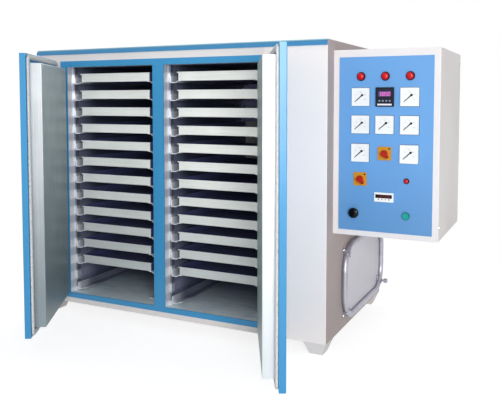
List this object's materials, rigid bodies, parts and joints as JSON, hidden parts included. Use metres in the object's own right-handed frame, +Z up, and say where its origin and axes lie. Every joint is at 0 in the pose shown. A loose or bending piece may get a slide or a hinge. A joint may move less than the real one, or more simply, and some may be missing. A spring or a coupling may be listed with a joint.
{
  "type": "tray dryer",
  "caption": "Two-door cabinet tray dryer with two bays of trays on rack ledges, thick insulated doors and a side-mounted control box.",
  "frame": {"origin": "middle of the footprint at floor level, with the doors open as in the rest pose", "axes": "+X to the right along the front, +Y from the front to the back, +Z up"},
  "size_m": [1.934, 1.3922, 1.295],
  "materials": {
    "ivory_paint": "semi-gloss enamel",
    "blue_paint": "semi-gloss enamel",
    "plate_paint": "satin powder coat",
    "lining_steel": "brushed stainless sheet",
    "rack_steel": "mill finish",
    "tray_metal": "satin",
    "gasket_rubber": "braid-covered silicone",
    "hinge_steel": "zinc plated",
    "white_plastic": "satin",
    "dark_plastic": "satin",
    "red_lens": "glossy",
    "amber_plastic": "glossy",
    "collar_chrome": "polished",
    "red_plastic": "glossy",
    "black_plastic": "glossy",
    "green_plastic": "glossy",
    "rim_aluminium": "satin",
    "cover_paint": "satin"
  },
  "bodies": {
    "cabinet": {"left_wall": "ivory_paint", "right_wall": "ivory_paint", "floor_slab": "ivory_paint", "roof_slab": "ivory_paint", "back_wall": "ivory_paint", "feet": "ivory_paint", "roof_cap": "blue_paint", "left_jamb": "blue_paint", "right_jamb": "blue_paint", "head_rail": "blue_paint", "sill": "blue_paint", "mullion": "blue_paint", "side_linings": "lining_steel", "chamber_floor": "lining_steel", "chamber_ceiling": "lining_steel", "back_lining": "lining_steel", "partition": "lining_steel", "rack_posts": "rack_steel", "left_bay_ledges": "rack_steel", "right_bay_ledges": "rack_steel", "left_trays": "tray_metal", "right_trays": "tray_metal", "hinge_seats": "hinge_steel", "control_box": "ivory_paint", "instrument_plate": "plate_paint", "panel_meters": "white_plastic", "temperature_controller": "dark_plastic", "digital_timer": "white_plastic", "red_lamps": "red_lens", "switch_plates": "amber_plastic", "button_collars": "collar_chrome", "cover_rim": "rim_aluminium", "cover_plate": "cover_paint", "rim_saddles": "rim_aluminium"},
    "left_door": {"left_door_panel": "blue_paint", "left_door_plug": "lining_steel", "left_door_gasket": "gasket_rubber", "left_door_hinges": "hinge_steel"},
    "right_door": {"right_door_panel": "blue_paint", "right_door_plug": "lining_steel", "right_door_gasket": "gasket_rubber", "right_door_hinges": "hinge_steel"},
    "upper_switch": {"upper_switch_knob": "red_plastic"},
    "lower_switch": {"lower_switch_knob": "red_plastic"},
    "black_push": {"black_button": "black_plastic"},
    "green_push": {"green_button": "green_plastic"}
  },
  "joints": [
    {"name": "left_door_hinge", "type": "hinge", "parent": "cabinet", "child": "left_door", "pos_m": [-0.836, -0.18187, 0.6], "axis": [0, 0, -1], "range_deg": [-60, 75]},
    {"name": "right_door_hinge", "type": "hinge", "parent": "cabinet", "child": "right_door", "pos_m": [0.314, -0.18187, 0.6], "axis": [0, 0, 1], "range_deg": [-117, 18]},
    {"name": "upper_switch_turn", "type": "hinge", "parent": "cabinet", "child": "upper_switch", "pos_m": [0.7545, -0.07687, 0.84], "axis": [0, -1, 0], "range_deg": [0, 90]},
    {"name": "lower_switch_turn", "type": "hinge", "parent": "cabinet", "child": "lower_switch", "pos_m": [0.6565, -0.07687, 0.734], "axis": [0, -1, 0], "range_deg": [0, 90]},
    {"name": "black_button_press", "type": "slide", "parent": "cabinet", "child": "black_push", "axis": [0, 1, 0], "range_m": [0, 0.006], "stiffness_N_per_m": 300, "springref_m": -0.003},
    {"name": "green_button_press", "type": "slide", "parent": "cabinet", "child": "green_push", "axis": [0, 1, 0], "range_m": [0, 0.003], "stiffness_N_per_m": 300, "springref_m": -0.002}
  ]
}
